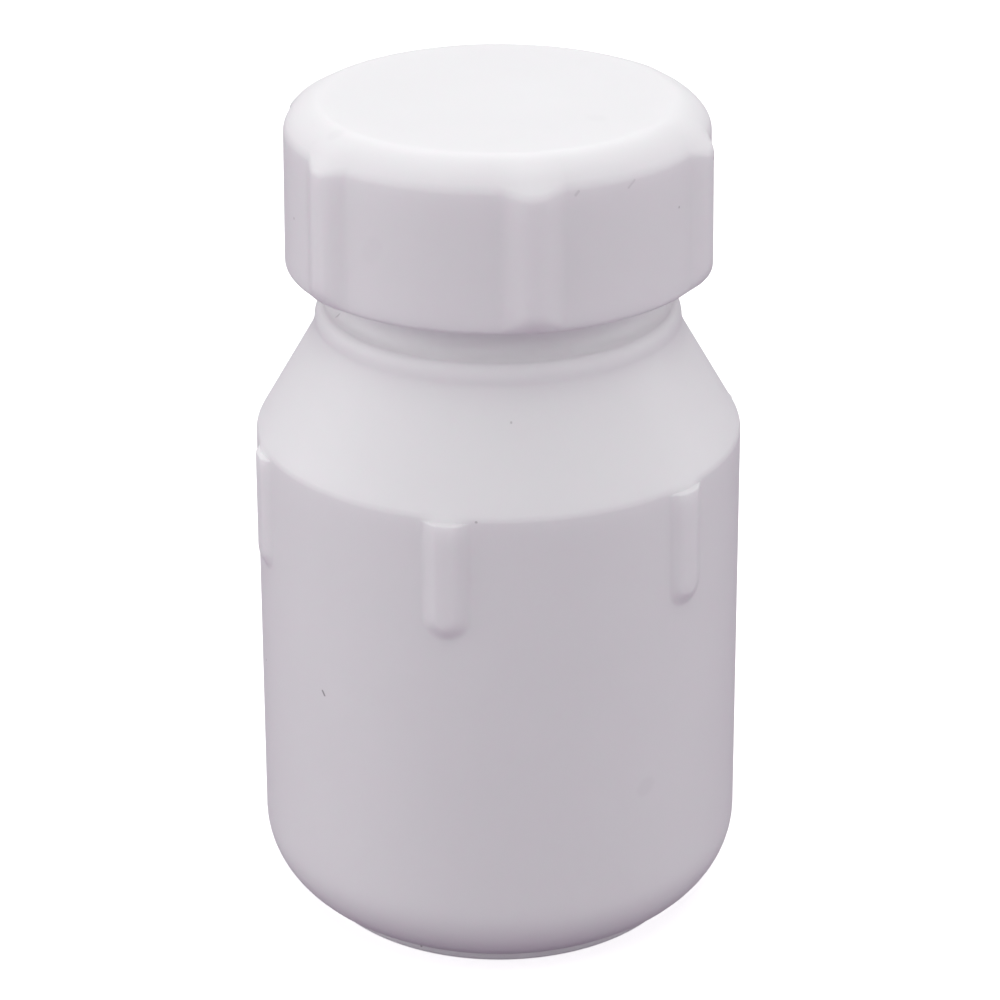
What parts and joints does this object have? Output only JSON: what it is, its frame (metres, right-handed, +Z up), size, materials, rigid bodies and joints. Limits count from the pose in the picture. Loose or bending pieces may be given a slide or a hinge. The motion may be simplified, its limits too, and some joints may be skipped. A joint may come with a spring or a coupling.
{
  "type": "reagent bottle",
  "caption": "Wide-mouth laboratory reagent bottle in opaque white fluoroplastic, with a ribbed screw cap, cone shoulder, threaded neck and captive inner sealing lid.",
  "frame": {"origin": "centre of the foot ring, on the surface that the bottle stands on", "axes": "+Z up along the bottle's axis, -Y to the front, +X to the right seen from the front"},
  "size_m": [0.0712, 0.0716, 0.123],
  "materials": {
    "ptfe_bottle": "satin",
    "ptfe_cap": "satin",
    "ptfe_inner_lid": "satin"
  },
  "bodies": {
    "bottle": {"bottle": "ptfe_bottle"},
    "inner_lid": {"inner_lid": "ptfe_inner_lid"},
    "screw_cap": {"screw_cap": "ptfe_cap"}
  },
  "joints": [
    {"name": "cap_rise", "type": "slide", "parent": "bottle", "child": "inner_lid", "axis": [0, 0, 1], "range_m": [0, 0.02001]},
    {"name": "cap_turn", "type": "hinge", "parent": "inner_lid", "child": "screw_cap", "pos_m": [0, 0, 0.111], "axis": [0, 0, 1], "range_deg": [0, 1440]}
  ],
  "couplings": [
    {"joint": "cap_rise", "follows": "cap_turn", "m_per_rad": 0.00079577}
  ]
}
